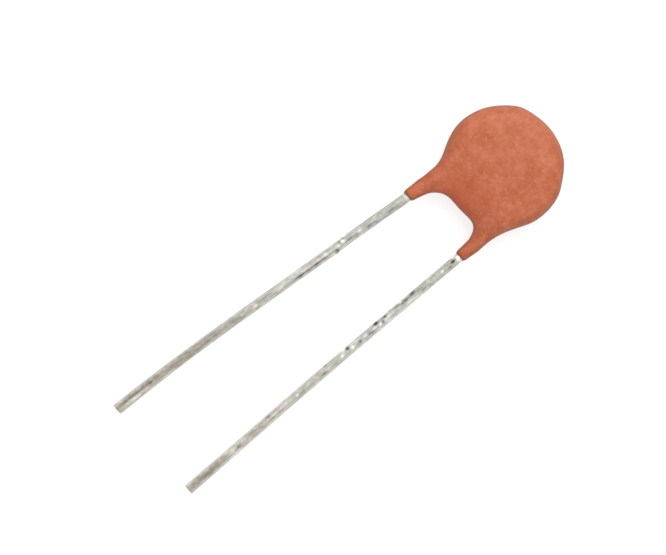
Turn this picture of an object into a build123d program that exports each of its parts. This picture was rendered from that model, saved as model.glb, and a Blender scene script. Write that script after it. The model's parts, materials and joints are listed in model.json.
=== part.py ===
from build123d import *
import os
from math import atan2, degrees

# Ceramic disc capacitor with two radial wire leads, lying on its back face.
# Millimetres. The origin is on the surface it lies on, under the middle of the disc.
# +Z goes up through the disc's two faces, and the leads run towards -Y.

# ---- driving dimensions -------------------------------------------------
wire_diameter = 0.65
ceramic_diameter = 6.6
ceramic_thickness = 0.8
electrode_diameter = 5.8
electrode_thickness = 0.02    # fired silver film
solder_bed = 0.03             # solder between the electrode and the wire
solder_width = 1.5
solder_height = 0.5
solder_length = 2.7           # along the wire, between the centres of its round ends
solder_taper = 25             # slope of its sides, degrees from upright

coat_width = 7.72             # the round body across the leads
coat_height = 7.54            # and along them, without the runs down the leads
coat_thickness = 2.8
coat_centre_y = 0.04
coat_shoulder = 1.2           # rounding between the flat faces and the rim
coat_end_y = -5.67            # the runs stop here on both wires

web_thickness = 1.3           # the coat that bridges the two runs under the body
web_rounding = 0.24
web_top_y = -1.5              # inside the body
web_edge_y = -3.71            # its lower edge between the leads
web_outer_x = 2.55            # inside the runs
web_inner_left_x = -2.05      # where the lower edge turns down the runs
web_inner_right_x = 1.85
left_corner_radius = 1.1
right_corner_radius = 0.7

wire_radius = wire_diameter / 2
mid_height = coat_thickness / 2
ceramic_face = ceramic_thickness / 2
electrode_face = ceramic_face + electrode_thickness
wire_on_face = electrode_face + solder_bed + wire_radius
tip_height = wire_radius - mid_height
overrun = 1.0                 # the wire is swept past its cut, then trimmed square to Y

# ---- routes of the two leads --------------------------------------------
# Each route is x, y and height above the disc's middle plane, from the end soldered on
# an electrode, over the disc's edge, out of the coat and down to the cut tip. The left
# lead is soldered on the top face and the right lead on the bottom face.
left_route = [
    (-0.45, 1.15, wire_on_face),
    (-2.25, -2.60, wire_on_face),
    (-2.485, -4.90, 0.40),
    (-4.257, -22.8, -0.743),
    (-4.445, -28.0, tip_height),
]
right_route = [
    (0.45, 1.15, -wire_on_face),
    (2.20, -2.60, -wire_on_face),
    (2.412, -4.90, -0.40),
    (2.195, -17.5, -0.769),
    (2.25, -27.93, tip_height),
]
# One radius for each corner: at the disc's edge, inside the run, and the slow bend outside.
left_radii = [2.5, 12.0, 70.0]
right_radii = [2.5, 12.0, 300.0]

# Each run of the coat down its lead: y, and the coat's radius about the wire there.
run_sections = [(-2.4, 0.61), (-3.9, 0.61), (coat_end_y, 0.42)]
run_end_rounding = 0.07


# ---- leads ---------------------------------------------------------------
def wire(route, radii):
    """A round wire bent along the route, cut square to Y at the route's last point."""
    corners = [Vector(x, y, z + mid_height) for x, y, z in route]
    tip = corners.pop()
    past_tip = tip + (tip - corners[-1]).normalized() * overrun
    with BuildPart() as bent:
        with BuildLine() as path:
            FilletPolyline(*corners, past_tip, radius=radii)
        with BuildSketch(Plane(origin=path.line @ 0, z_dir=path.line % 0)):
            Circle(wire_radius)
        sweep(path=path.line)
        split(bisect_by=Plane.XZ.offset(-tip.Y), keep=Keep.BOTTOM)
    return bent


left_lead = wire(left_route, left_radii)
left_lead.part.label = "left_lead"
right_lead = wire(right_route, right_radii)
right_lead.part.label = "right_lead"

# ---- the ceramic disc, its two electrodes and the solder on them ---------
with BuildPart() as ceramic_disc:
    with BuildSketch(Plane.XY.offset(mid_height)):
        Circle(ceramic_diameter / 2)
    extrude(amount=ceramic_thickness / 2, both=True)
ceramic_disc.part.label = "ceramic_disc"


def electrode(way):
    """The silver film on the ceramic's upper (way 1) or lower (way -1) face."""
    with BuildPart() as film:
        with BuildSketch(Plane.XY.offset(mid_height + way * ceramic_face)):
            Circle(electrode_diameter / 2)
        extrude(amount=way * electrode_thickness)
    return film


top_electrode = electrode(1)
top_electrode.part.label = "top_electrode"
bottom_electrode = electrode(-1)
bottom_electrode.part.label = "bottom_electrode"


def solder(way, route, lead):
    """The long mound of solder that holds a lead's flat stretch on its electrode."""
    start = Vector(*route[0][:2])
    along = (Vector(*route[1][:2]) - start).normalized()
    with BuildPart() as mound:
        with BuildSketch(Plane.XY.offset(mid_height + way * electrode_face)):
            SlotCenterPoint(start + along * solder_length / 2, start, solder_width)
        extrude(amount=way * solder_height, taper=solder_taper)
        add(lead.part, mode=Mode.SUBTRACT)
    return mound


top_solder = solder(1, left_route, left_lead)
top_solder.part.label = "top_solder"
bottom_solder = solder(-1, right_route, right_lead)
bottom_solder.part.label = "bottom_solder"


# ---- the dipped coat -----------------------------------------------------
def on_route(route, y):
    """The wire's x, and its height above the surface, where its route crosses this y."""
    for (x1, y1, z1), (x2, y2, z2) in zip(route, route[1:]):
        if y1 >= y >= y2:
            share = (y1 - y) / (y1 - y2)
            return x1 + share * (x2 - x1), z1 + share * (z2 - z1) + mid_height
    raise ValueError(f"the route doesn't cross y = {y}")


def run(route):
    """The tapering stretch of coat that follows a lead out of the body."""
    with BuildPart() as sleeve:
        for y, radius in run_sections:
            with BuildSketch(Plane.XZ.offset(-y)):
                with Locations(on_route(route, y)):
                    Circle(radius)
        loft()
        end_face = sleeve.faces().sort_by(Axis.Y)[0]
        fillet(end_face.edges(), run_end_rounding)
    return sleeve


left_run = run(left_route)
right_run = run(right_route)

# The web joins the two runs, so it leans with them: the left one is higher.
left_exit = left_route[2]
right_exit = right_route[2]
web_lean = degrees(atan2(left_exit[2] - right_exit[2], right_exit[0] - left_exit[0]))
web_corners = {web_inner_left_x: left_corner_radius, web_inner_right_x: right_corner_radius}
with BuildPart() as web:
    with BuildSketch(Plane.XY.offset(mid_height).rotated((0, web_lean, 0))) as web_outline:
        with BuildLine():
            Polyline(
                (-web_outer_x, web_top_y),
                (-web_outer_x, web_edge_y - left_corner_radius),
                (web_inner_left_x, web_edge_y - left_corner_radius),
                (web_inner_left_x, web_edge_y),
                (web_inner_right_x, web_edge_y),
                (web_inner_right_x, web_edge_y - right_corner_radius),
                (web_outer_x, web_edge_y - right_corner_radius),
                (web_outer_x, web_top_y),
                close=True,
            )
        make_face()
        for corner_x, corner_radius in web_corners.items():
            corner = web_outline.vertices().sort_by_distance((corner_x, web_edge_y))[0]
            fillet(corner, corner_radius)
    extrude(amount=web_thickness / 2, both=True)
    web_faces = web.faces().sort_by(Axis.Z)
    fillet(web_faces[0].edges() + web_faces[-1].edges(), web_rounding)

held_pieces = [
    left_lead,
    right_lead,
    ceramic_disc,
    top_electrode,
    bottom_electrode,
    top_solder,
    bottom_solder,
]
with BuildPart() as coat:
    with BuildSketch(Plane.XY.offset(mid_height)):
        with Locations((0, coat_centre_y)):
            Ellipse(coat_width / 2, coat_height / 2)
    extrude(amount=coat_thickness / 2, both=True)
    fillet(coat.edges().filter_by(GeomType.ELLIPSE), coat_shoulder)
    for outer in (left_run, right_run, web):
        add(outer.part)
    for held in held_pieces:
        add(held.part, mode=Mode.SUBTRACT)
coat.part.label = "coat"

# ---- write the pieces ----------------------------------------------------
os.makedirs("parts", exist_ok=True)
for piece in [coat] + held_pieces:
    export_step(piece.part, f"parts/{piece.part.label}.step")
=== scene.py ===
"""A ceramic disc capacitor: a dipped resin body on two tinned wire leads.

Laid out as an add-on. Sizes are in metres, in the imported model's own frame: +Z goes up
through the disc's faces, and the leads run towards -Y.
"""

import json
import math

import bpy
from bpy.props import FloatProperty, FloatVectorProperty, PointerProperty
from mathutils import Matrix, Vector


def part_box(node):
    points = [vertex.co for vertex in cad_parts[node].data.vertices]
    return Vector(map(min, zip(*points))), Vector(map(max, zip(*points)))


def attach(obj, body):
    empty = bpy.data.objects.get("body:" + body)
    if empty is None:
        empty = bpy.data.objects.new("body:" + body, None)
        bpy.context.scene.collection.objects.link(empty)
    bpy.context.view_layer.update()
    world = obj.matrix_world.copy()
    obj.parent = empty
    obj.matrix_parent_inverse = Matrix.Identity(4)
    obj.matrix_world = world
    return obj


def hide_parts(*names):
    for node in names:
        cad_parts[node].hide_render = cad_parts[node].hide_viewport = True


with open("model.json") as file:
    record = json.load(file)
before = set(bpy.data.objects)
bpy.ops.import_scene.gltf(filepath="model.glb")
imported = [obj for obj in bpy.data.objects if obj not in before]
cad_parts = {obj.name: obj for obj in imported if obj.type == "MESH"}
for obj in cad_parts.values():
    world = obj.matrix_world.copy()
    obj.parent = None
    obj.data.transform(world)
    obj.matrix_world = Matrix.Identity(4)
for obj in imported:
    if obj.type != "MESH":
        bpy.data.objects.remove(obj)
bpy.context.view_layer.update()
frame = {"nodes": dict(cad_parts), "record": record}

bl_info = {
    "name": "Ceramic Disc Capacitor",
    "version": (1, 0, 0),
    "blender": (4, 5, 0),
    "location": "View3D > Sidebar > Capacitor",
    "description": "Builds the dipped body, the tinned leads and the studio of a disc capacitor",
    "category": "Object",
}

MM = 0.001
MICRON = 0.000001
COAT_LOW, COAT_HIGH = (Vector(corner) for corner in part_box("coat"))
MOUNTS = {mount["name"]: mount for mount in frame["record"]["mounts"]}
WIRE_RADIUS = MOUNTS["left_tip"]["dims"]["r_mm"] * MM
COAT_THICKNESS = COAT_HIGH.z - COAT_LOW.z
MID_HEIGHT = COAT_THICKNESS / 2

# The line of each lead as x, y and height above the disc's middle plane, in millimetres,
# from the end soldered on the disc to the cut tip. The tip's height comes from the frame.
LEFT_LINE = [
    (-0.45, 1.15, 0.775), (-1.60, -1.25, 0.775), (-2.22, -2.60, 0.74), (-2.47, -4.60, 0.43),
    (-2.56, -6.00, 0.33), (-2.84, -8.70, 0.16), (-3.00, -10.20, 0.06), (-3.04, -11.00, 0.01),
    (-3.18, -12.40, -0.08), (-3.56, -16.20, -0.32), (-3.81, -18.70, -0.48),
    (-4.03, -21.20, -0.64), (-4.22, -23.60, -0.79), (-4.36, -26.00, -0.94),
]
RIGHT_LINE = [
    (0.45, 1.15, -0.775), (1.55, -1.25, -0.775), (2.17, -2.60, -0.74), (2.39, -4.60, -0.44),
    (2.42, -6.00, -0.43), (2.38, -8.70, -0.51), (2.33, -11.20, -0.58), (2.29, -14.30, -0.67),
    (2.26, -18.60, -0.80), (2.25, -22.00, -0.90), (2.26, -25.50, -1.00),
]


# ---- numbers that vary over space, as chains of math nodes ----------------

def add_node(tree, kind, **settings):
    """A new node, placed in a grid so that the tree can be read."""
    count = len(tree.nodes)
    node = tree.nodes.new(kind)
    node.location = (190 * (count // 7), -210 * (count % 7))
    for name, value in settings.items():
        setattr(node, name, value)
    return node


def feed(tree, socket, value):
    """Links a Field or a socket to an input, or sets a plain value on it."""
    if isinstance(value, Field):
        value = value.socket
    if isinstance(value, bpy.types.NodeSocket):
        tree.links.new(value, socket)
    else:
        socket.default_value = value


class Field:
    """A socket with arithmetic: each sum or product adds a math node to its tree."""

    def __init__(self, tree, socket):
        self.tree = tree
        self.socket = socket

    def math(self, operation, *others):
        node = add_node(self.tree, "ShaderNodeMath", operation=operation)
        for socket, value in zip(node.inputs, (self,) + others):
            feed(self.tree, socket, value)
        return Field(self.tree, node.outputs[0])

    def __add__(self, other):
        return self.math("ADD", other)

    def __sub__(self, other):
        return self.math("SUBTRACT", other)

    def __mul__(self, other):
        return self.math("MULTIPLY", other)

    def __truediv__(self, other):
        return self.math("DIVIDE", other)

    def __neg__(self):
        return self * -1.0

    def squared(self):
        return self * self

    def root(self):
        return self.math("SQRT")

    def size(self):
        return self.math("ABSOLUTE")

    def bell(self):
        """exp(-value): 1 where the value is nothing, and falling off smoothly."""
        return (-self).math("EXPONENT")

    def at_least(self, other):
        return self.math("MAXIMUM", other)

    def at_most(self, other):
        return self.math("MINIMUM", other)

    def joined(self, other, blend):
        """The union of two solids given by distance, with a rounded crease."""
        return self.math("SMOOTH_MIN", other, blend)

    def common(self, other, blend):
        """What two solids given by distance have in common, with a rounded edge."""
        return self.math("SMOOTH_MAX", other, blend)

    def ramp(self, start, end, low=0.0, high=1.0, smooth=False):
        """Goes from low at start to high at end, and stays level outside them."""
        curve = "SMOOTHSTEP" if smooth else "LINEAR"
        node = add_node(self.tree, "ShaderNodeMapRange", interpolation_type=curve)
        for socket, value in zip(node.inputs, (self, start, end, low, high)):
            feed(self.tree, socket, value)
        return Field(self.tree, node.outputs[0])


def length_of(*sides):
    """The length of a vector from its parts along each axis."""
    total = sides[0].squared()
    for side in sides[1:]:
        total = total + side.squared()
    return total.root()


def split_vector(tree, vector):
    """The three parts of a vector, as fields."""
    node = add_node(tree, "ShaderNodeSeparateXYZ")
    feed(tree, node.inputs[0], vector)
    return [Field(tree, socket) for socket in node.outputs]


def join_vector(tree, x, y, z):
    """A vector socket made of three parts."""
    node = add_node(tree, "ShaderNodeCombineXYZ")
    for socket, value in zip(node.inputs, (x, y, z)):
        feed(tree, socket, value)
    return node.outputs[0]


def noise(tree, vector, size, detail=2.0, roughness=0.5):
    """Soft noise from 0 to 1 whose features are about this size."""
    node = add_node(tree, "ShaderNodeTexNoise")
    feed(tree, node.inputs["Vector"], vector)
    node.inputs["Scale"].default_value = 1.0 / size
    node.inputs["Detail"].default_value = detail
    node.inputs["Roughness"].default_value = roughness
    return Field(tree, node.outputs[0])


# ---- geometry node trees ---------------------------------------------------

def new_tree(name, floats):
    """A geometry tree with one distance input for each name, and a material input."""
    tree = bpy.data.node_groups.new(name, "GeometryNodeTree")
    tree.interface.new_socket("Geometry", in_out="INPUT", socket_type="NodeSocketGeometry")
    for label, value in floats.items():
        socket = tree.interface.new_socket(label, in_out="INPUT", socket_type="NodeSocketFloat")
        socket.default_value = value
    tree.interface.new_socket("Material", in_out="INPUT", socket_type="NodeSocketMaterial")
    tree.interface.new_socket("Geometry", in_out="OUTPUT", socket_type="NodeSocketGeometry")
    entry = add_node(tree, "NodeGroupInput")
    given = {label: Field(tree, entry.outputs[label]) for label in floats}
    return tree, entry, given


def end_tree(tree, entry, geometry):
    """Ends a tree in Realize Instances and Set Material."""
    realize = add_node(tree, "GeometryNodeRealizeInstances")
    feed(tree, realize.inputs["Geometry"], geometry)
    paint = add_node(tree, "GeometryNodeSetMaterial")
    feed(tree, paint.inputs["Geometry"], realize.outputs["Geometry"])
    feed(tree, paint.inputs["Material"], entry.outputs["Material"])
    leave = add_node(tree, "NodeGroupOutput")
    feed(tree, leave.inputs["Geometry"], paint.outputs["Geometry"])


def moved(tree, geometry, x, y, z):
    """The geometry with each point at a new place."""
    node = add_node(tree, "GeometryNodeSetPosition")
    feed(tree, node.inputs["Geometry"], geometry)
    feed(tree, node.inputs["Position"], join_vector(tree, x, y, z))
    return node.outputs["Geometry"]


def stored(tree, geometry, name, data_type, value):
    """The geometry with a value kept on its points under a name, for the material."""
    node = add_node(tree, "GeometryNodeStoreNamedAttribute", data_type=data_type)
    node.inputs["Name"].default_value = name
    feed(tree, node.inputs["Geometry"], geometry)
    feed(tree, node.inputs["Value"], value)
    return node.outputs["Geometry"]


def smooth_shaded(tree, geometry):
    """The geometry with its faces shaded smooth."""
    node = add_node(tree, "GeometryNodeSetShadeSmooth")
    feed(tree, node.inputs["Geometry"], geometry)
    return node.outputs["Geometry"]


def built_piece(name, data, tree, inputs, material):
    """Runs a tree on an object once and keeps its result as a plain mesh piece."""
    source = bpy.data.objects.new(f"{name}_source", data)
    bpy.context.collection.objects.link(source)
    modifier = source.modifiers.new(tree.name, "NODES")
    modifier.node_group = tree
    sockets = {item.name: item.identifier for item in tree.interface.items_tree
               if item.in_out == "INPUT"}
    for label, value in inputs.items():
        modifier[sockets[label]] = value
    modifier[sockets["Material"]] = material
    evaluated = source.evaluated_get(bpy.context.evaluated_depsgraph_get())
    mesh = bpy.data.meshes.new_from_object(evaluated)
    source.modifiers.remove(modifier)
    bpy.data.objects.remove(source)
    if not mesh.polygons:
        raise RuntimeError(f"{name} came out empty")
    mesh.name = name
    piece = bpy.data.objects.new(name, mesh)
    bpy.context.collection.objects.link(piece)
    return piece


# ---- the dipped coat ---------------------------------------------------------

# Where each run of the coat goes, down its lead, in millimetres: y, then x and half its width.
LEFT_RUN = [(-3.0, -1.90, 0.60), (-4.5, -2.38, 0.48), (-5.67, -2.55, 0.38)]
RIGHT_RUN = [(-3.0, 2.20, 0.65), (-4.5, 2.45, 0.45), (-5.67, 2.42, 0.36)]
# Uneven places of the rim, in millimetres: x, y, how far it reaches and how far it stands out.
RIM_LUMPS = [
    (-2.10, 3.28, 0.70, 0.09), (2.95, 2.38, 0.85, -0.08), (3.80, -0.80, 0.80, 0.04),
    (-3.86, -0.40, 0.90, 0.03), (-3.05, -2.50, 0.70, -0.10),
]
# Inside the body the runs, their sleeves and the web start at these y, softly.
RUN_TOP, RUN_TOP_BLEND = -1.2 * MM, 0.5 * MM
SLEEVE_TOP, SLEEVE_TOP_BLEND = -2.2 * MM, 0.4 * MM
WEB_TOP, WEB_TOP_BLEND = -1.0 * MM, 1.0 * MM
RUN_END_BLEND = 0.35 * MM
# The web between the runs: its lower edge, its middle and half width, and its rounding.
WEB_EDGE, WEB_MIDDLE, WEB_REACH, WEB_ROUNDING = -3.55 * MM, 0.15 * MM, 2.4 * MM, 0.85 * MM
CROTCH_REACH = 2.0 * MM
# Over this stretch of y the body thins down to the runs. The shares are what is left there
# of its thickness and its shoulder, and the lean is how much the runs' plane tips sideways.
NECK_START, NECK_END = -1.6 * MM, -5.2 * MM
NECK_THICKNESS, NECK_SHOULDER, NECK_LEAN = 0.34, 0.42, 0.155
DOME_LIMIT = 1.2    # square of the furthest share of the way out where the faces still fall
# A sleeve's radius: a share of its run's half width, and no more than its limit at each y.
SLEEVE_SHARE, SLEEVE_BLEND = 0.88, 0.32 * MM
SLEEVE_LIMIT = (-2.6 * MM, -4.3 * MM, 0.37 * MM, 0.52 * MM)
# The leads' heights above the disc's middle plane: on the disc, past the bend, at the coat's end.
LEAD_BEND, LEAD_BEND_HEIGHTS = (-2.6 * MM, -4.9 * MM), (0.775 * MM, 0.40 * MM)
LEAD_SLOPE = (-4.9 * MM, -5.7 * MM, 0.0, -0.04 * MM)
# The grid's density falls over this many cells across the skin, and its margin is this many.
SKIN_CELLS, MARGIN_CELLS = 6.0, 3.0
BROAD_WAVE, FINE_WAVE = 1.5 * MM, 0.45 * MM
# Painted shade along the rim grows over this band of the outline, from inside to out.
RIM_SHADE_BAND = (-0.22 * MM, 0.03 * MM)


def steps(y, knots, column):
    """A run's x or half width along y, straight from knot to knot."""
    (y1, *first), (y2, *second), (y3, *third) = knots
    upper = y.ramp(y1 * MM, y2 * MM, first[column] * MM, second[column] * MM)
    return upper + y.ramp(y2 * MM, y3 * MM, 0.0, (third[column] - second[column]) * MM)


def run_height(y, way):
    """The height of a lead above the disc's middle plane, inside its run of coat."""
    bend = y.ramp(*LEAD_BEND, *(height * way for height in LEAD_BEND_HEIGHTS))
    return bend + y.ramp(*LEAD_SLOPE)


def plan_outline(given, x, y):
    """The coat seen from above, as a distance that is negative inside.

    Also gives each place's share of the way from the body's middle to its rim.
    """
    half_width, half_height = given["Half Width"], given["Half Height"]
    centre_y = given["Top"] - half_height
    share = length_of(x / half_width, (y - centre_y) / half_height)
    outline = (share - 1.0) * ((half_width + half_height) * 0.5)
    for knots, fillet in ((LEFT_RUN, given["Left Fillet"]), (RIGHT_RUN, given["Right Fillet"])):
        reach = steps(y, knots, 1)
        strip = ((x - steps(y, knots, 0)).squared() - reach.squared()) / (reach * 2.0)
        strip = strip.common(given["Run End"] - y, RUN_END_BLEND)
        strip = strip.common(y - RUN_TOP, RUN_TOP_BLEND)
        outline = outline.joined(strip, fillet)
    web = (-y + WEB_EDGE).common((x - WEB_MIDDLE).size() - WEB_REACH, WEB_ROUNDING)
    web = web.common(y - WEB_TOP, WEB_TOP_BLEND)
    crotch = x.ramp(-CROTCH_REACH, CROTCH_REACH, given["Left Crotch"], given["Right Crotch"])
    outline = outline.joined(web, crotch)
    for lump_x, lump_y, reach, height in RIM_LUMPS:
        near = length_of(x - lump_x * MM, y - lump_y * MM) / (reach * MM)
        outline = outline - near.squared().bell() * (height * MM)
    return outline, share


def pillow(given, outline, share, x, y, z):
    """The body as a pillow on its outline. It thins towards the runs and leans with them."""
    middle = given["Thickness"] * 0.5
    neck = y.ramp(NECK_START, NECK_END, smooth=True)
    half_thick = middle * neck.ramp(0.0, 1.0, 1.0, NECK_THICKNESS)
    sag = share.squared().at_most(DOME_LIMIT) * given["Dome"] * (-neck + 1.0)
    half_thick = half_thick - sag
    shoulder = given["Shoulder"] * neck.ramp(0.0, 1.0, 1.0, NECK_SHOULDER)
    height = z - middle + x * neck * NECK_LEAN
    edge = ((outline + shoulder) / shoulder).at_least(0.0)
    fullness = edge.squared() * edge + (height / half_thick).squared()
    return (fullness.root() - 1.0) * half_thick.at_most(shoulder)


def with_sleeves(given, shape, x, y, z):
    """The body joined with a round sleeve of coat on each lead."""
    middle = given["Thickness"] * 0.5
    for knots, way in ((LEFT_RUN, 1.0), (RIGHT_RUN, -1.0)):
        across = x - steps(y, knots, 0)
        above = z - middle - run_height(y, way)
        girth = (steps(y, knots, 1) * SLEEVE_SHARE).at_most(y.ramp(*SLEEVE_LIMIT))
        sleeve = length_of(across, above) - girth
        sleeve = sleeve.common(given["Run End"] - y, RUN_END_BLEND)
        sleeve = sleeve.common(y - SLEEVE_TOP, SLEEVE_TOP_BLEND)
        shape = shape.joined(sleeve, SLEEVE_BLEND)
    return shape


def drawn_skin(tree, given, shape):
    """A closed mesh along the shape's surface, drawn from a grid of cells."""
    voxel, half_width = given["Voxel"], given["Half Width"]
    density = (shape / (voxel * -SKIN_CELLS) + 0.5).at_least(0.0).at_most(1.0)
    margin = voxel * MARGIN_CELLS
    low = join_vector(tree, -half_width - margin, given["Run End"] - margin, -margin)
    high = join_vector(tree, half_width + margin, given["Top"] + margin,
                       given["Thickness"] + margin)
    cube = add_node(tree, "GeometryNodeVolumeCube")
    feed(tree, cube.inputs["Density"], density)
    feed(tree, cube.inputs["Min"], low)
    feed(tree, cube.inputs["Max"], high)
    spans = (half_width * 2.0, given["Top"] - given["Run End"], given["Thickness"])
    for label, span in zip("XYZ", spans):
        feed(tree, cube.inputs[f"Resolution {label}"], (span + margin * 2.0) / voxel)
    skin = add_node(tree, "GeometryNodeVolumeToMesh", resolution_mode="GRID")
    feed(tree, skin.inputs["Volume"], cube.outputs["Volume"])
    feed(tree, skin.inputs["Threshold"], 0.5)
    return skin.outputs["Mesh"]


def coat_tree():
    """The coat as one implicit shape, drawn as a skin that dried in gentle waves."""
    tree, entry, given = new_tree("Dipped Coat", {
        "Half Width": 3.85 * MM, "Half Height": 3.70 * MM, "Top": 3.81 * MM,
        "Thickness": 2.8 * MM, "Shoulder": 1.05 * MM, "Dome": 0.12 * MM,
        "Run End": -5.67 * MM, "Left Fillet": 2.8 * MM, "Right Fillet": 2.0 * MM,
        "Left Crotch": 1.2 * MM, "Right Crotch": 0.6 * MM,
        "Waviness": 0.02 * MM, "Voxel": 0.06 * MM,
    })
    place = add_node(tree, "GeometryNodeInputPosition").outputs[0]
    x, y, z = split_vector(tree, place)
    outline, share = plan_outline(given, x, y)
    shape = pillow(given, outline, share, x, y, z)
    skin = drawn_skin(tree, given, with_sleeves(given, shape, x, y, z))

    # The belly stays on the surface that the body lies on.
    normal = split_vector(tree, add_node(tree, "GeometryNodeInputNormal").outputs[0])
    wave = noise(tree, place, BROAD_WAVE) + noise(tree, place, FINE_WAVE) * 0.5 - 0.75
    wave = wave * given["Waviness"]
    points = [axis + slope * wave for axis, slope in zip((x, y, z), normal)]
    points[2] = points[2].at_least(0.0)
    # Kept for the material: how near each point is to the rim, for the painted shade there.
    skin = stored(tree, skin, "rim", "FLOAT", outline.ramp(*RIM_SHADE_BAND, smooth=True))
    end_tree(tree, entry, smooth_shaded(tree, moved(tree, skin, *points)))
    return tree


# ---- the leads ---------------------------------------------------------------

RING_SIDES = 40
CURVE_STEPS = 24
RIPPLE_SIZE, RIPPLE_STRETCH = 0.22 * MM, 0.35
BEAD_SIZE, BEAD_FADE = 0.55 * MM, 1.0 * MM
# A slimmed lead is at its slimmest from this y up, and would be full this far past its tip.
SLIM_START, SLIM_PAST_TIP = -6.0 * MM, 8.0 * MM
# Marks on each lead: y, turn about the wire in degrees (0 on +X, 90 on top), half length,
# half width and how far it stands out, in millimetres, and how bright (or, below 0, dark):
# the tones are mostly painted glints and painted reflections where the dents and beads catch the
# light, and partly stains. The widest marks, at the end of each list, are stretches of a faintly
# brighter wire.
LEFT_MARKS = [
    (-5.76, 90, 0.08, 0.50, 0.0, 0.6), (-7.95, 158, 0.90, 0.09, -0.015, -0.6),
    (-6.90, 75, 0.45, 0.12, 0.0, -0.5), (-9.30, 82, 0.12, 0.10, 0.015, 1.0),
    (-8.60, 65, 0.50, 0.12, 0.0, -0.4), (-9.90, 78, 0.42, 0.07, -0.020, -1.1),
    (-10.22, 170, 0.09, 0.16, -0.090, 0.3), (-10.38, 150, 0.07, 0.13, -0.040, -1.3),
    (-10.50, 108, 0.11, 0.11, 0.020, 1.1), (-10.70, 120, 0.08, 0.18, -0.020, -0.9),
    (-10.88, 85, 0.09, 0.10, 0.010, 1.0), (-11.14, 42, 0.13, 0.12, -0.055, -1.6),
    (-11.20, 0, 0.13, 0.13, 0.035, 0.0), (-12.75, 64, 1.45, 0.06, -0.028, -1.3),
    (-12.70, 94, 1.55, 0.08, 0.010, 0.4), (-13.90, 62, 0.40, 0.08, -0.020, -0.9),
    (-15.30, 95, 0.30, 0.12, 0.0, 0.4), (-16.40, 95, 0.60, 0.12, 0.0, -0.5),
    (-17.25, 80, 0.16, 0.12, 0.010, 0.7), (-17.25, 45, 0.14, 0.10, -0.015, -0.9),
    (-18.25, 90, 0.12, 0.11, 0.010, 0.6), (-19.80, 98, 1.70, 0.12, -0.004, -0.36),
    (-22.60, 96, 2.20, 0.12, -0.004, -0.32), (-25.30, 90, 0.16, 0.08, -0.015, -0.7),
    (-26.80, 98, 1.60, 0.08, -0.015, -0.75), (-26.50, 66, 0.90, 0.08, 0.0, 0.8),
    (-15.60, 90, 1.60, 0.70, 0.0, 0.12),
]
RIGHT_MARKS = [
    (-5.79, 92, 0.14, 0.28, 0.030, 1.5), (-6.02, 155, 0.11, 0.14, -0.055, 1.5),
    (-6.18, 102, 0.19, 0.10, -0.045, -1.9), (-6.55, 75, 0.20, 0.20, 0.0, -0.4),
    (-7.08, 88, 0.09, 0.11, 0.015, 1.0), (-8.80, 100, 0.60, 0.16, 0.0, -0.3),
    (-9.36, 132, 0.20, 0.13, -0.045, -1.5), (-9.60, 62, 0.42, 0.07, 0.015, 1.0),
    (-9.95, 112, 0.40, 0.15, -0.015, -0.8), (-10.30, 155, 0.09, 0.13, -0.100, 1.5),
    (-10.62, 122, 0.24, 0.14, -0.015, -0.8), (-11.42, 95, 0.10, 0.10, 0.020, 1.0),
    (-11.58, 130, 0.14, 0.10, -0.020, -1.2), (-11.68, 88, 0.09, 0.10, 0.020, 1.0),
    (-11.90, 95, 0.10, 0.14, -0.025, -1.5), (-12.14, 80, 0.12, 0.10, 0.020, 1.1),
    (-12.30, 138, 0.18, 0.12, -0.040, -1.8), (-12.62, 90, 0.14, 0.12, 0.010, 0.5),
    (-12.95, 75, 0.20, 0.10, -0.010, -0.7), (-13.30, 98, 0.14, 0.10, 0.015, 0.7),
    (-13.75, 88, 0.13, 0.12, -0.025, -1.1), (-14.38, 88, 0.12, 0.11, 0.030, 1.2),
    (-14.66, 132, 0.12, 0.15, -0.075, -1.9), (-14.92, 155, 0.14, 0.13, -0.050, 1.2),
    (-15.20, 88, 0.12, 0.11, 0.020, 0.9), (-15.85, 95, 0.35, 0.14, 0.0, -0.3),
    (-16.42, 152, 0.12, 0.09, -0.025, -1.2), (-16.78, 68, 0.22, 0.08, -0.025, -1.0),
    (-18.30, 60, 0.09, 0.08, 0.010, 0.7), (-18.95, 88, 0.11, 0.10, 0.015, 1.0),
    (-21.20, 122, 0.18, 0.09, -0.015, -0.9), (-22.00, 98, 0.45, 0.08, -0.008, -0.8),
    (-22.75, 100, 0.30, 0.08, -0.008, -0.8), (-23.75, 85, 0.16, 0.12, 0.0, -0.6),
    (-24.25, 90, 0.14, 0.12, 0.005, 0.4), (-26.30, 85, 1.40, 0.13, 0.0, -0.7),
    (-22.80, 90, 3.20, 0.70, 0.0, 0.30), (-15.60, 90, 1.10, 0.70, 0.0, 0.14),
]


def tube_along(tree, curve, given):
    """A tube along a curve. Each ring keeps its middle and the length of wire before it."""
    resample = add_node(tree, "GeometryNodeResampleCurve", mode="LENGTH")
    feed(tree, resample.inputs["Curve"], curve)
    feed(tree, resample.inputs["Length"], given["Ring Spacing"])
    keep = add_node(tree, "GeometryNodeCaptureAttribute", domain="POINT")
    keep.capture_items.new("VECTOR", "Middle")
    keep.capture_items.new("FLOAT", "Travelled")
    place = add_node(tree, "GeometryNodeInputPosition").outputs[0]
    travelled = add_node(tree, "GeometryNodeSplineParameter").outputs["Length"]
    feed(tree, keep.inputs["Geometry"], resample.outputs["Curve"])
    feed(tree, keep.inputs["Middle"], place)
    feed(tree, keep.inputs["Travelled"], travelled)
    ring = add_node(tree, "GeometryNodeCurvePrimitiveCircle")
    ring.inputs["Resolution"].default_value = RING_SIDES
    feed(tree, ring.inputs["Radius"], given["Wire Radius"])
    tube = add_node(tree, "GeometryNodeCurveToMesh")
    feed(tree, tube.inputs["Curve"], keep.outputs["Geometry"])
    feed(tree, tube.inputs["Profile Curve"], ring.outputs["Curve"])
    tube.inputs["Fill Caps"].default_value = True
    return tube.outputs["Mesh"], keep.outputs["Middle"], Field(tree, keep.outputs["Travelled"])


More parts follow.
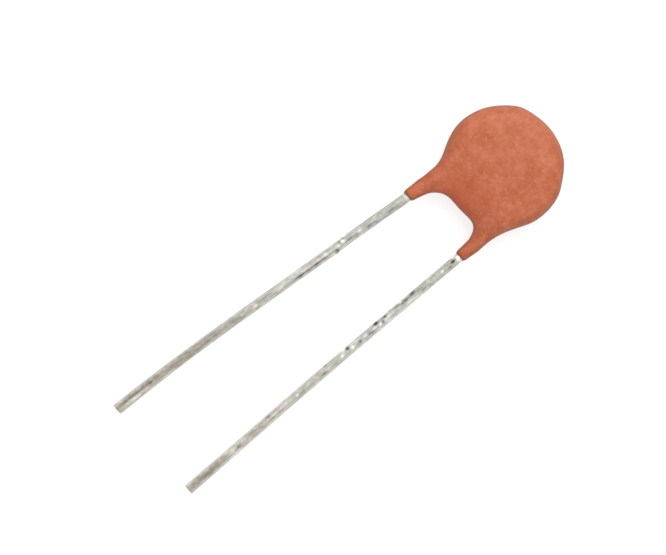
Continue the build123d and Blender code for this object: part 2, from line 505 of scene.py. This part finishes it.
def tin_swell(tree, given, y, out_x, out_z, along):
    """How far the tin stands out from the plain wire: its flare, ripples and beads."""
    tip, first, last = given["Tip"], given["Lumps Start"], given["Lumps End"]
    swell = y.ramp(tip + given["Flare Length"], tip) * given["Flare"]
    swell = swell - y.ramp(tip - SLIM_PAST_TIP, SLIM_START) * given["Slimmer"]
    section = join_vector(tree, out_x, out_z, along * RIPPLE_STRETCH)
    ripples = noise(tree, section, RIPPLE_SIZE, detail=3.0) - 0.5
    swell = swell + ripples * given["Ripple"] * 2.0
    lumpy = y.ramp(first, first - BEAD_FADE, smooth=True)
    lumpy = lumpy - y.ramp(last + BEAD_FADE, last, smooth=True)
    beads = noise(tree, join_vector(tree, out_x, out_z, along), BEAD_SIZE, detail=1.0) - 0.5
    return swell + beads * lumpy * given["Lumps"] * 2.0


def with_marks(marks, radius, y, out_x, out_z, swell, tone):
    """The swell and the tone of the wire, with every mark added to them; the tones are painted
    glints and reflections, and stains.
    """
    for mark_y, turn, half_length, half_width, rise, shine in marks:
        angle = math.radians(turn)
        facing = (out_x * math.cos(angle) + out_z * math.sin(angle)) / radius
        lengthwise = ((y - mark_y * MM) / (half_length * MM)).squared()
        sideways = (facing - 1.0) * (-2.0 * (WIRE_RADIUS / (half_width * MM)) ** 2)
        mark = (lengthwise + sideways).bell()
        swell = swell + mark * (rise * MM)
        tone = tone + mark * shine
    return swell, tone


def lead_tree(name, marks):
    """A tinned wire along a curve, with ripples, marks, a worn flare and a square cut."""
    tree, entry, given = new_tree(name, {
        "Wire Radius": 0.325 * MM, "Ring Spacing": 0.05 * MM, "Tip": -28.0 * MM,
        "Slimmer": 0.015 * MM, "Flare": 0.03 * MM, "Flare Length": 6.0 * MM, "Ripple": 0.010 * MM,
        "Lumps": 0.02 * MM, "Lumps Start": -9.0 * MM, "Lumps End": -16.0 * MM,
    })
    tube, middle, along = tube_along(tree, entry.outputs["Geometry"], given)
    place = add_node(tree, "GeometryNodeInputPosition").outputs[0]
    x, y, z = split_vector(tree, place)
    middle_x, middle_y, middle_z = split_vector(tree, middle)
    out_x, out_y, out_z = x - middle_x, y - middle_y, z - middle_z

    radius, tip = given["Wire Radius"], given["Tip"]
    swell = tin_swell(tree, given, y, out_x, out_z, along)
    swell, tone = with_marks(marks, radius, y, out_x, out_z, swell, along * 0.0)
    grow = swell / radius + 1.0

    # The last ring is moved flat onto the cut, and the underside stays on the surface.
    cut = (middle_y - tip).math("LESS_THAN", given["Ring Spacing"] * 0.5)
    new_y = middle_y + out_y * grow
    new_y = new_y + (tip - new_y) * cut
    ground = (middle_z + out_z * grow).at_least(0.0)
    on_wire = join_vector(tree, out_x, out_z, along)
    wire = stored(tree, tube, "on_wire", "FLOAT_VECTOR", on_wire)
    # The marks' tones: painted glints and painted reflections, and stains.
    wire = stored(tree, wire, "tin_tone", "FLOAT", tone)
    wire = moved(tree, wire, middle_x + out_x * grow, new_y, ground)
    end_tree(tree, entry, smooth_shaded(tree, wire))
    return tree


def lead_curve(name, line, tip):
    """The lead's middle line as a smooth open curve that ends at the tip."""
    points = [Vector((x * MM, y * MM, z * MM + MID_HEIGHT)) for x, y, z in line] + [tip]
    curve = bpy.data.curves.new(name, "CURVE")
    curve.dimensions = "3D"
    curve.resolution_u = CURVE_STEPS
    curve.twist_mode = "Z_UP"
    spline = curve.splines.new("NURBS")
    spline.points.add(len(points) - 1)
    for point, place in zip(spline.points, points):
        point.co = (*place, 1.0)
    spline.order_u = 3
    spline.use_endpoint_u = True
    return curve


# ---- materials ---------------------------------------------------------------

def new_material(name, colour, metallic, roughness):
    """A material, its principled shader, and the place on the piece that patterns read."""
    material = bpy.data.materials.new(name)
    material.use_nodes = True
    tree = material.node_tree
    shader = tree.nodes["Principled BSDF"]
    shader.inputs["Base Color"].default_value = (*colour, 1.0)
    shader.inputs["Metallic"].default_value = metallic
    shader.inputs["Roughness"].default_value = roughness
    place = add_node(tree, "ShaderNodeTexCoord").outputs["Object"]
    return material, tree, shader, place


def colour_mix(tree, share, first, second):
    """A colour between two others, each a plain colour or a socket."""
    node = add_node(tree, "ShaderNodeMix", data_type="RGBA")
    feed(tree, node.inputs[0], share)
    for socket, colour in ((node.inputs[6], first), (node.inputs[7], second)):
        plain = not isinstance(colour, bpy.types.NodeSocket)
        feed(tree, socket, (*colour, 1.0) if plain else colour)
    return node.outputs[2]


def add_bump(tree, shader, height, distance):
    """Raises the surface by height, a field from 0 to 1, times distance."""
    bump = add_node(tree, "ShaderNodeBump")
    bump.inputs["Distance"].default_value = distance
    feed(tree, bump.inputs["Height"], height)
    tree.links.new(bump.outputs["Normal"], shader.inputs["Normal"])


def tinted(colour, shares):
    """A colour with a share of another's red, green and blue."""
    return tuple(part * share for part, share in zip(colour, shares))


# The resin's mottling: the size of each grain in millimetres and its weight, and how far the
# red, green and blue swing to either side of the main colour.
RESIN_GRAINS = ((0.10, 0.22), (0.20, 0.44), (0.42, 0.66), (0.9, 0.70))
RESIN_SPREAD = (0.115, 0.060, 0.040)
# Painted light and shade: the body is painted paler towards its far end and -X, where the light
# falls,
# and a little darker towards the leads: from one place to another along that slant, and the tone
# at each.
LIGHT_SLANT = 0.35
PAINTED_LIGHT_PART = (0.3 * MM, 3.9 * MM, 0.5, 0.86)
PAINTED_SHADE_PART = (-3.8 * MM, 0.3 * MM, -0.06, 0.0)
# Shares of the main colour's red, green and blue.
GREY_TINT, ORANGE_TINT, PINK_TINT = (0.64, 1.0, 1.1), (1.0, 1.08, 0.72), (1.03, 1.06, 1.38)
RUSSET_TINT, RIM_SHADE_TINT = (0.98, 0.74, 0.62), (0.62, 0.60, 0.50)
SPECK_COLOUR, RUN_END_COLOUR = (0.68, 0.29, 0.18), (0.20, 0.115, 0.05)
# The web is painted russet round this place, partly its own colour and partly painted shade where
# the crotch faces away from the light; the ends of the runs are darker.
WEB_PATCH_X, WEB_PATCH_Y, WEB_PATCH_REACH, WEB_PATCH_SHARE = -0.2 * MM, -3.3 * MM, 1.3 * MM, 0.7
DARKER_RUN_ENDS = (-5.40 * MM, -5.66 * MM, 0.0, 0.5)
RIM_SHADE_SHARE = 0.55
PEEL_HEIGHT = 12 * MICRON


def dipped_resin(settings):
    """Satin orange-brown resin: mottled at four scales, with pink, orange and grey stains, and
    painted light and shade.
    """
    colour = tuple(settings.colour)
    material, tree, shader, place = new_material("dipped_resin", colour, 0.0, 0.5)
    dark = tuple(base - swing for base, swing in zip(colour, RESIN_SPREAD))
    pale = tuple(base + swing for base, swing in zip(colour, RESIN_SPREAD))
    grains = [noise(tree, place, size * MM, detail=0.0) for size, _ in RESIN_GRAINS]
    across, along, _ = split_vector(tree, place)
    # Painted light and shade: paler where the light falls, darker towards the leads.
    toward_light = along - across * LIGHT_SLANT
    tone = toward_light.ramp(*PAINTED_LIGHT_PART)
    tone = tone + toward_light.ramp(*PAINTED_SHADE_PART)
    for grain, (_, weight) in zip(grains, RESIN_GRAINS):
        tone = tone + (grain - 0.5) * weight
    mixed = colour_mix(tree, tone.at_least(0.0).at_most(1.0), dark, pale)

    hue = noise(tree, place, 0.42 * MM)
    stains = noise(tree, place, 0.28 * MM)
    specks = noise(tree, place, 0.20 * MM, detail=0.0)
    for patch, start, full, share, stain in (
        (hue, 0.48, 0.30, 0.35, tinted(colour, ORANGE_TINT)),
        (hue, 0.52, 0.70, 0.35, tinted(colour, PINK_TINT)),
        (stains, 0.58, 0.72, 0.46, tinted(colour, GREY_TINT)),
        (specks, 0.64, 0.88, 0.40, SPECK_COLOUR),
    ):
        mixed = colour_mix(tree, patch.ramp(start, full, 0.0, share), mixed, stain)

    # Painted shade in the crotch between the runs, with a little of the web's own colour.
    web_shade = length_of(across - WEB_PATCH_X, along - WEB_PATCH_Y) / WEB_PATCH_REACH
    web_shade = web_shade.squared().bell() * WEB_PATCH_SHARE
    mixed = colour_mix(tree, web_shade, mixed, tinted(colour, RUSSET_TINT))
    # Painted shade: a darker brown along the rim and the ends of the runs, where the edges turn
    # away from the light.
    rim = add_node(tree, "ShaderNodeAttribute", attribute_name="rim")
    rim_shade_share = Field(tree, rim.outputs["Fac"]) * RIM_SHADE_SHARE
    mixed = colour_mix(tree, rim_shade_share, mixed, tinted(colour, RIM_SHADE_TINT))
    # Darker towards the ends of the runs.
    mixed = colour_mix(tree, along.ramp(*DARKER_RUN_ENDS, smooth=True), mixed, RUN_END_COLOUR)
    tree.links.new(mixed, shader.inputs["Base Color"])
    feed(tree, shader.inputs["Roughness"], grains[1].ramp(0.25, 0.75, 0.50, 0.64))
    shader.inputs["Specular IOR Level"].default_value = 0.28
    peel = grains[0] * 0.35 + grains[1] * 0.5 + grains[2] * 0.6
    add_bump(tree, shader, peel, PEEL_HEIGHT)
    return material


# The tin dulls between these lengths along the wire, and takes a yellow or a rosy cast.
DULLING = (13 * MM, 26 * MM)
YELLOW_CAST, ROSY_CAST, CAST_SHARE = (0.40, 0.39, 0.28), (0.42, 0.36, 0.33), 0.30
BRIGHT_TIN, DARK_SHARE = (0.88, 0.87, 0.83), 0.10
# Streaks run far along the wire, and patches a little.
STREAK_STRETCH, STREAK_SIZE, STREAK_WEIGHT = 0.08, 0.15 * MM, 0.6
PATCH_STRETCH, PATCH_SIZE, CAST_SIZE = 0.5, 0.17 * MM, 0.45 * MM
# Patches are strongest on the pitted stretch: start and end along the wire, and weights.
PITTED_FROM, PITTED_TO = (8 * MM, 10 * MM, 0.9, 1.25), (14 * MM, 16 * MM, 0.0, -0.35)
MARK_WEIGHT = 0.62
# Painted light: the sides of the wire are painted lighter than its top, most of all towards -X,
# where the light comes from, and more so away from the body.
PAINTED_FLANK_LIGHT, PAINTED_SIDE_LIGHT = (0.315 * MM, 0.24 * MM, 0.1, 1.0), (0.25 * MM, -0.25 * MM, -0.3, 0.2)
PAINTED_FLANK_LIGHT_WEIGHT = (6 * MM, 13 * MM, 0.05, 0.25)
FULL_TONE = 0.8
TIN_GRAIN_HEIGHT = 8 * MICRON


def tinned_wire(settings):
    """Tinned wire: bright by the body, duller and warmer outwards, streaked lengthwise, with
    painted glints and painted light on its sides.
    """
    colour = tuple(settings.colour)
    material, tree, shader, _ = new_material("tinned_wire", colour, 1.0, 0.5)
    source = add_node(tree, "ShaderNodeAttribute", attribute_name="on_wire")
    mark = add_node(tree, "ShaderNodeAttribute", attribute_name="tin_tone")
    side, top, along = split_vector(tree, source.outputs["Vector"])
    streak_place = join_vector(tree, side, top, along * STREAK_STRETCH)
    patch_place = join_vector(tree, side, top, along * PATCH_STRETCH)
    streaks = noise(tree, streak_place, STREAK_SIZE)
    patches = noise(tree, patch_place, PATCH_SIZE, roughness=0.6)
    cast = noise(tree, patch_place, CAST_SIZE, detail=1.0)
    mixed = colour_mix(tree, along.ramp(*DULLING), colour, tuple(settings.far_colour))
    mixed = colour_mix(tree, cast.ramp(0.5, 0.65, 0.0, CAST_SHARE), mixed, YELLOW_CAST)
    mixed = colour_mix(tree, cast.ramp(0.5, 0.35, 0.0, CAST_SHARE), mixed, ROSY_CAST)

    mottled = along.ramp(*PITTED_FROM) + along.ramp(*PITTED_TO)
    tone = (streaks - 0.5) * STREAK_WEIGHT + (patches - 0.5) * mottled
    # The marks add painted glints and reflections where the dents catch the light, and stains.
    tone = tone + Field(tree, mark.outputs["Fac"]) * MARK_WEIGHT
    # Painted light on the sides of the wire, strongest towards -X.
    painted_side_light = top.ramp(*PAINTED_FLANK_LIGHT) + side.ramp(*PAINTED_SIDE_LIGHT)
    tone = tone + painted_side_light * along.ramp(*PAINTED_FLANK_LIGHT_WEIGHT)
    # The dark and bright tin take the streaks and patches, and also the painted glints and the
    # painted side light.
    dark = tuple(part * DARK_SHARE for part in colour)
    mixed = colour_mix(tree, tone.ramp(0.0, -FULL_TONE), mixed, dark)
    mixed = colour_mix(tree, tone.ramp(0.0, FULL_TONE), mixed, BRIGHT_TIN)
    tree.links.new(mixed, shader.inputs["Base Color"])
    shader.inputs["Specular Tint"].default_value = (1.0, 1.0, 1.0, 1.0)
    feed(tree, shader.inputs["Roughness"], patches.ramp(0.3, 0.7, 0.42, 0.60))
    add_bump(tree, shader, streaks * 0.6 + patches * 0.6, TIN_GRAIN_HEIGHT)
    return material


def sintered_ceramic():
    """The dielectric: a matte cream ceramic with a fine grain."""
    colour = (0.60, 0.52, 0.40)
    material, tree, shader, place = new_material("sintered_ceramic", colour, 0.0, 0.75)
    grains = noise(tree, place, 0.08 * MM, detail=3.0)
    mixed = colour_mix(tree, grains.ramp(0.3, 0.7), (0.52, 0.44, 0.33), (0.68, 0.60, 0.48))
    tree.links.new(mixed, shader.inputs["Base Color"])
    feed(tree, shader.inputs["Roughness"], grains.ramp(0.3, 0.7, 0.65, 0.85))
    add_bump(tree, shader, grains, 6 * MICRON)
    return material


def fired_silver():
    """The electrodes: a printed silver film, matte and faintly grainy."""
    material, tree, shader, place = new_material("fired_silver", (0.78, 0.77, 0.74), 1.0, 0.5)
    grains = noise(tree, place, 0.05 * MM, detail=2.0)
    tint = noise(tree, place, 1.2 * MM)
    mixed = colour_mix(tree, tint.ramp(0.35, 0.65), (0.70, 0.69, 0.66), (0.85, 0.84, 0.82))
    tree.links.new(mixed, shader.inputs["Base Color"])
    feed(tree, shader.inputs["Roughness"], grains.ramp(0.3, 0.7, 0.42, 0.62))
    add_bump(tree, shader, grains, 3 * MICRON)
    return material


def soft_solder():
    """The solder mounds: satin grey metal with shallow frosting."""
    material, tree, shader, place = new_material("soft_solder", (0.60, 0.60, 0.60), 1.0, 0.35)
    frost = noise(tree, place, 0.12 * MM, detail=3.0)
    mixed = colour_mix(tree, frost.ramp(0.35, 0.7), (0.50, 0.50, 0.50), (0.72, 0.72, 0.71))
    tree.links.new(mixed, shader.inputs["Base Color"])
    feed(tree, shader.inputs["Roughness"], frost.ramp(0.3, 0.7, 0.25, 0.5))
    add_bump(tree, shader, frost, 8 * MICRON)
    return material


def seen_directly(tree):
    """1 for what the eye, a reflection or a clear body sees, and 0 for plain light."""
    path = add_node(tree, "ShaderNodeLightPath")
    seen = Field(tree, path.outputs["Is Camera Ray"])
    seen = seen.at_least(path.outputs["Is Glossy Ray"])
    return seen.at_least(path.outputs["Is Transmission Ray"])


def white_paper(glow):
    """A floor that takes shadows and still looks white."""
    material = bpy.data.materials.new("white_paper")
    material.use_nodes = True
    tree = material.node_tree
    shader = tree.nodes["Principled BSDF"]
    shader.inputs["Base Color"].default_value = (0.5, 0.5, 0.5, 1.0)
    shader.inputs["Roughness"].default_value = 1.0
    shader.inputs["Specular IOR Level"].default_value = 0.0
    shader.inputs["Emission Color"].default_value = (1.0, 1.0, 1.0, 1.0)
    feed(tree, shader.inputs["Emission Strength"], seen_directly(tree) * glow)
    return material


# ---- the stage -------------------------------------------------------------------

# Each lamp: its name, its offset from the body's middle and its width, both in metres, and
# its power as a share of the key light's.
LAMPS = (("key", (-0.05, 0.12, 0.21), 0.20, 1.0), ("fill", (0.03, -0.10, 0.30), 0.30, 0.25))
# The camera looks straight down on this place, and its view width is true at this height.
VIEW_X, VIEW_Y, VIEW_HEIGHT = -1.79 * MM, -12.43 * MM, 1.2 * MM
NEAREST_SEEN, FURTHEST_SEEN = 0.01, 10.0


# ---- settings ------------------------------------------------------------------

class CapacitorCoatSettings(bpy.types.PropertyGroup):
    """Sizes and colour of the dipped body."""

    half_width: FloatProperty(
        name="Half Width", description="From the disc's middle to its side",
        default=COAT_HIGH.x, unit="LENGTH", precision=5)
    half_height: FloatProperty(
        name="Half Height", description="Half the round body's length along the leads",
        default=3.70 * MM, unit="LENGTH", precision=5)
    thickness: FloatProperty(
        name="Thickness", description="From one flat face of the body to the other",
        default=COAT_THICKNESS, unit="LENGTH", precision=5)
    shoulder: FloatProperty(
        name="Shoulder", description="Width of the rounding between a face and the rim",
        default=1.05 * MM, unit="LENGTH", precision=5)
    dome: FloatProperty(
        name="Dome", description="How far each flat face falls from its middle to its rim",
        default=0.12 * MM, unit="LENGTH", precision=6)
    waviness: FloatProperty(
        name="Waviness", description="Height of the gentle waves in the dried skin",
        default=0.02 * MM, unit="LENGTH", precision=6)
    voxel: FloatProperty(
        name="Voxel", description="Size of the cells that the skin is drawn from",
        default=0.06 * MM, unit="LENGTH", precision=6)
    colour: FloatVectorProperty(
        name="Colour", description="Main colour of the resin",
        subtype="COLOR", size=3, min=0.0, max=1.0, default=(0.582, 0.154, 0.0715))


class CapacitorLeadSettings(bpy.types.PropertyGroup):
    """Sizes and colours of the tinned leads."""

    wire_radius: FloatProperty(
        name="Wire Radius", description="Radius of the tinned wire",
        default=WIRE_RADIUS, unit="LENGTH", precision=6)
    ripple: FloatProperty(
        name="Ripple", description="Height of the fine ripples in the tin",
        default=0.010 * MM, unit="LENGTH", precision=6)
    flare: FloatProperty(
        name="Flare", description="How much the left lead's radius grows at its tip",
        default=0.032 * MM, unit="LENGTH", precision=6)
    slimmer: FloatProperty(
        name="Slimmer", description="How much the right lead's radius shrinks by the body",
        default=0.030 * MM, unit="LENGTH", precision=6)
    lumps: FloatProperty(
        name="Lumps", description="Height of the beads of tin on the right lead",
        default=0.035 * MM, unit="LENGTH", precision=6)
    colour: FloatVectorProperty(
        name="Colour", description="Colour of the tin by the body",
        subtype="COLOR", size=3, min=0.0, max=1.0, default=(0.478, 0.473, 0.442))
    far_colour: FloatVectorProperty(
        name="Far Colour", description="Colour of the tin at the tips",
        subtype="COLOR", size=3, min=0.0, max=1.0, default=(0.372, 0.345, 0.285))


class CapacitorStageSettings(bpy.types.PropertyGroup):
    """The floor, the lights and the camera."""

    floor_size: FloatProperty(
        name="Floor Size", description="Side of the square floor",
        default=1.2, unit="LENGTH")
    view_width: FloatProperty(
        name="View Width", description="Width of what the camera sees, at the object",
        default=41.4 * MM, unit="LENGTH", precision=5)
    lens: FloatProperty(
        name="Lens", description="Focal length in millimetres", default=200.0)
    camera_turn: FloatProperty(
        name="Camera Turn", description="Turn of the camera about its line of sight",
        default=math.radians(48.9), unit="ROTATION")
    glow: FloatProperty(
        name="Floor Glow", description="Extra white on the floor where it is seen", default=0.70)
    sky: FloatProperty(
        name="Sky", description="Strength of the even light all round", default=0.62)
    key: FloatProperty(
        name="Key Light", description="Power of the large soft lamp, in watts", default=0.24)


# ---- operators -----------------------------------------------------------------

class CAPACITOR_OT_coat(bpy.types.Operator):
    """Builds the dipped resin coat, with its two runs and the web between them"""

    bl_idname = "capacitor.coat"
    bl_label = "Build Coat"

    def execute(self, context):
        settings = context.scene.capacitor_coat
        inputs = {
            "Half Width": settings.half_width, "Half Height": settings.half_height,
            "Top": COAT_HIGH.y, "Thickness": settings.thickness,
            "Shoulder": settings.shoulder, "Dome": settings.dome, "Run End": COAT_LOW.y,
            "Waviness": settings.waviness, "Voxel": settings.voxel,
        }
        seed = bpy.data.meshes.new("coat_seed")
        coat = built_piece("dipped_coat", seed, coat_tree(), inputs, dipped_resin(settings))
        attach(coat, "root")
        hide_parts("coat")
        return {"FINISHED"}


# The leads: line, marks, and shares of the flare, the slimming and the beads of tin.
LEADS = {
    "left": (LEFT_LINE, LEFT_MARKS, 1.0, 0.3, 0.0),
    "right": (RIGHT_LINE, RIGHT_MARKS, 0.3, 1.0, 1.0),
}


class CAPACITOR_OT_leads(bpy.types.Operator):
    """Builds the two tinned wire leads"""

    bl_idname = "capacitor.leads"
    bl_label = "Build Leads"

    def execute(self, context):
        settings = context.scene.capacitor_leads
        material = tinned_wire(settings)
        for side, (line, marks, flare, slim, lumps) in LEADS.items():
            tip = Vector(MOUNTS[f"{side}_tip"]["pos_m"])
            tree = lead_tree(f"Tinned {side.title()} Lead", marks)
            inputs = {
                "Wire Radius": settings.wire_radius, "Tip": tip.y,
                "Flare": settings.flare * flare, "Slimmer": settings.slimmer * slim,
                "Ripple": settings.ripple, "Lumps": settings.lumps * lumps,
            }
            curve = lead_curve(f"{side}_line", line, tip)
            lead = built_piece(f"tinned_{side}_lead", curve, tree, inputs, material)
            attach(lead, "root")
            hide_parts(f"{side}_lead")
        return {"FINISHED"}


class CAPACITOR_OT_core(bpy.types.Operator):
    """Finishes the ceramic disc, its electrodes and the solder inside the coat"""

    bl_idname = "capacitor.core"
    bl_label = "Finish Core"

    def execute(self, context):
        finishes = {
            sintered_ceramic(): ("ceramic_disc",),
            fired_silver(): ("top_electrode", "bottom_electrode"),
            soft_solder(): ("top_solder", "bottom_solder"),
        }
        for material, nodes in finishes.items():
            for node in nodes:
                for slot in frame["nodes"][node].material_slots:
                    slot.material = material
        return {"FINISHED"}


class CAPACITOR_OT_stage(bpy.types.Operator):
    """Sets out the white floor, the soft lights and the camera"""

    bl_idname = "capacitor.stage"
    bl_label = "Set Stage"

    def execute(self, context):
        settings = context.scene.capacitor_stage
        self.add_floor(context, settings)
        self.add_sky(context, settings)
        self.add_lamps(context, settings)
        self.add_camera(context, settings)
        context.scene.view_settings.view_transform = "Standard"
        return {"FINISHED"}

    def add_floor(self, context, settings):
        half = settings.floor_size / 2
        corners = [(-half, -half, 0), (half, -half, 0), (half, half, 0), (-half, half, 0)]
        mesh = bpy.data.meshes.new("floor")
        mesh.from_pydata(corners, [], [(0, 1, 2, 3)])
        floor = bpy.data.objects.new("floor", mesh)
        context.collection.objects.link(floor)
        mesh.materials.append(white_paper(settings.glow))

    def add_sky(self, context, settings):
        world = bpy.data.worlds.new("soft_sky")
        world.use_nodes = True
        tree = world.node_tree
        sky = tree.nodes["Background"]
        sky.inputs["Color"].default_value = (1.0, 1.0, 1.0, 1.0)
        seen = seen_directly(tree)
        feed(tree, sky.inputs["Strength"], seen * (1.0 - settings.sky) + settings.sky)
        context.scene.world = world

    def add_lamps(self, context, settings):
        centre = Vector((COAT_LOW + COAT_HIGH) / 2)
        for name, offset, size, share in LAMPS:
            data = bpy.data.lights.new(name, "AREA")
            data.shape = "DISK"
            data.size = size
            data.energy = settings.key * share
            lamp = bpy.data.objects.new(name, data)
            lamp.location = centre + Vector(offset)
            lamp.rotation_euler = Vector(offset).to_track_quat("Z", "Y").to_euler()
            context.collection.objects.link(lamp)

    def add_camera(self, context, settings):
        data = bpy.data.cameras.new("camera")
        data.lens = settings.lens
        data.clip_start = NEAREST_SEEN
        data.clip_end = FURTHEST_SEEN
        distance = settings.view_width * data.lens / data.sensor_width
        camera = bpy.data.objects.new("camera", data)
        camera.location = (VIEW_X, VIEW_Y, VIEW_HEIGHT + distance)
        camera.rotation_euler = (0.0, 0.0, settings.camera_turn)
        context.collection.objects.link(camera)
        context.scene.camera = camera


class CAPACITOR_PT_panel(bpy.types.Panel):
    """Lists the capacitor's settings and the steps that build it"""

    bl_idname = "CAPACITOR_PT_panel"
    bl_label = "Disc Capacitor"
    bl_space_type = "VIEW_3D"
    bl_region_type = "UI"
    bl_category = "Capacitor"

    def draw(self, context):
        for title, name in SETTINGS:
            box = self.layout.box()
            box.label(text=title)
            group = getattr(context.scene, name)
            for prop in group.bl_rna.properties:
                if prop.identifier not in {"rna_type", "name"}:
                    box.prop(group, prop.identifier)
        for operator in STEPS:
            self.layout.operator(operator.bl_idname)


SETTINGS = (
    ("Coat", "capacitor_coat"),
    ("Leads", "capacitor_leads"),
    ("Stage", "capacitor_stage"),
)
GROUPS = (CapacitorCoatSettings, CapacitorLeadSettings, CapacitorStageSettings)
STEPS = (CAPACITOR_OT_stage, CAPACITOR_OT_leads, CAPACITOR_OT_coat, CAPACITOR_OT_core)
CLASSES = GROUPS + STEPS + (CAPACITOR_PT_panel,)


def register():
    for cls in CLASSES:
        bpy.utils.register_class(cls)
    for (_, name), group in zip(SETTINGS, GROUPS):
        setattr(bpy.types.Scene, name, PointerProperty(type=group))


def unregister():
    for _, name in SETTINGS:
        delattr(bpy.types.Scene, name)
    for cls in reversed(CLASSES):
        bpy.utils.unregister_class(cls)


def main():
    register()
    bpy.ops.capacitor.stage()
    bpy.ops.capacitor.leads()
    bpy.ops.capacitor.coat()
    bpy.ops.capacitor.core()


if __name__ == "__main__":
    main()
